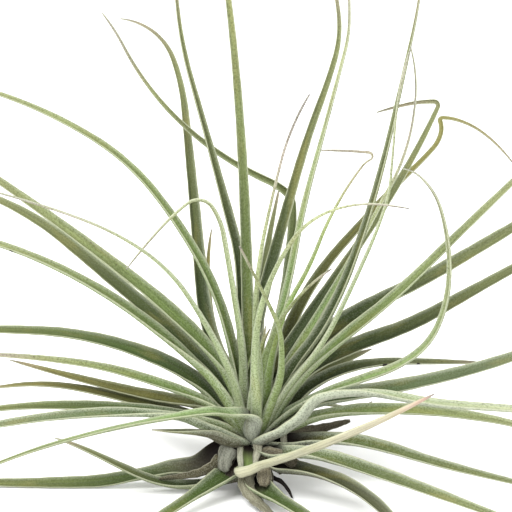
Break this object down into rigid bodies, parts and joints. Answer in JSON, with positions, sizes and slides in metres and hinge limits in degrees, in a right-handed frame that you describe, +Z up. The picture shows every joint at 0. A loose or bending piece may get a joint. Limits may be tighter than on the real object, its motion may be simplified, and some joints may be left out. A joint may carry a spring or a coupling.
{
  "type": "air plant",
  "caption": "Loose rosette of long, narrow, channelled grey-green leaves on a short stem, with a folded dry leaf and a dry root, for display without soil or a pot.",
  "frame": {"origin": "centre of the flat foot of the stem, on the surface that the plant rests on", "axes": "+Z up along the stem, +X to the right and +Y away from the front, with the front at -Y"},
  "size_m": [0.2844, 0.1914, 0.2297],
  "materials": {
    "green": "living leaf, satin, with fine pale scales",
    "dark": "shaded living leaf, satin, dark green",
    "olive": "ageing leaf, satin, yellow olive",
    "silver": "leaf under dense silver scales, matt",
    "dry": "dried leaf, matt, beige",
    "stem": "dark fibrous bark, matt",
    "root": "dry wiry root, matt"
  },
  "bodies": {
    "root": {"stem": "stem", "root": "root", "leaf_inner_1": "silver", "leaf_inner_2": "green", "leaf_inner_3": "green", "leaf_crown_1": "silver", "leaf_crown_2": "green", "leaf_crown_3": "green", "leaf_crown_4": "silver", "leaf_crown_5": "silver", "leaf_crown_6": "green", "leaf_crown_7": "green", "leaf_crown_8": "dark", "leaf_crown_9": "dark", "leaf_crown_10": "silver", "leaf_crown_11": "silver", "leaf_crown_12": "silver", "leaf_crown_13": "silver", "leaf_crown_14": "dark", "leaf_crown_15": "olive", "leaf_left_1": "green", "leaf_left_2": "dark", "leaf_left_3": "green", "leaf_left_4": "green", "leaf_left_5": "dark", "leaf_left_6": "silver", "leaf_left_7": "olive", "leaf_left_8": "green", "leaf_left_9": "olive", "leaf_left_10": "dark", "leaf_low_1": "green", "leaf_low_2": "olive", "leaf_low_3": "green", "leaf_low_4": "silver", "leaf_low_5": "olive", "leaf_low_6": "green", "leaf_low_7": "green", "leaf_folded_1": "green", "leaf_folded_2": "dry", "leaf_right_1": "silver", "leaf_right_2": "green", "leaf_right_3": "silver", "leaf_right_4": "silver", "leaf_right_5": "dark", "leaf_right_6": "dark", "leaf_right_7": "dark", "leaf_right_8": "dark", "leaf_right_9": "green", "leaf_right_10": "dark", "leaf_right_11": "olive", "leaf_right_12": "dark", "leaf_right_13": "silver", "leaf_right_14": "olive", "leaf_back_1": "dark", "leaf_back_2": "green", "leaf_back_3": "green", "leaf_back_4": "dark", "leaf_back_5": "olive"}
  },
  "joints": []
}
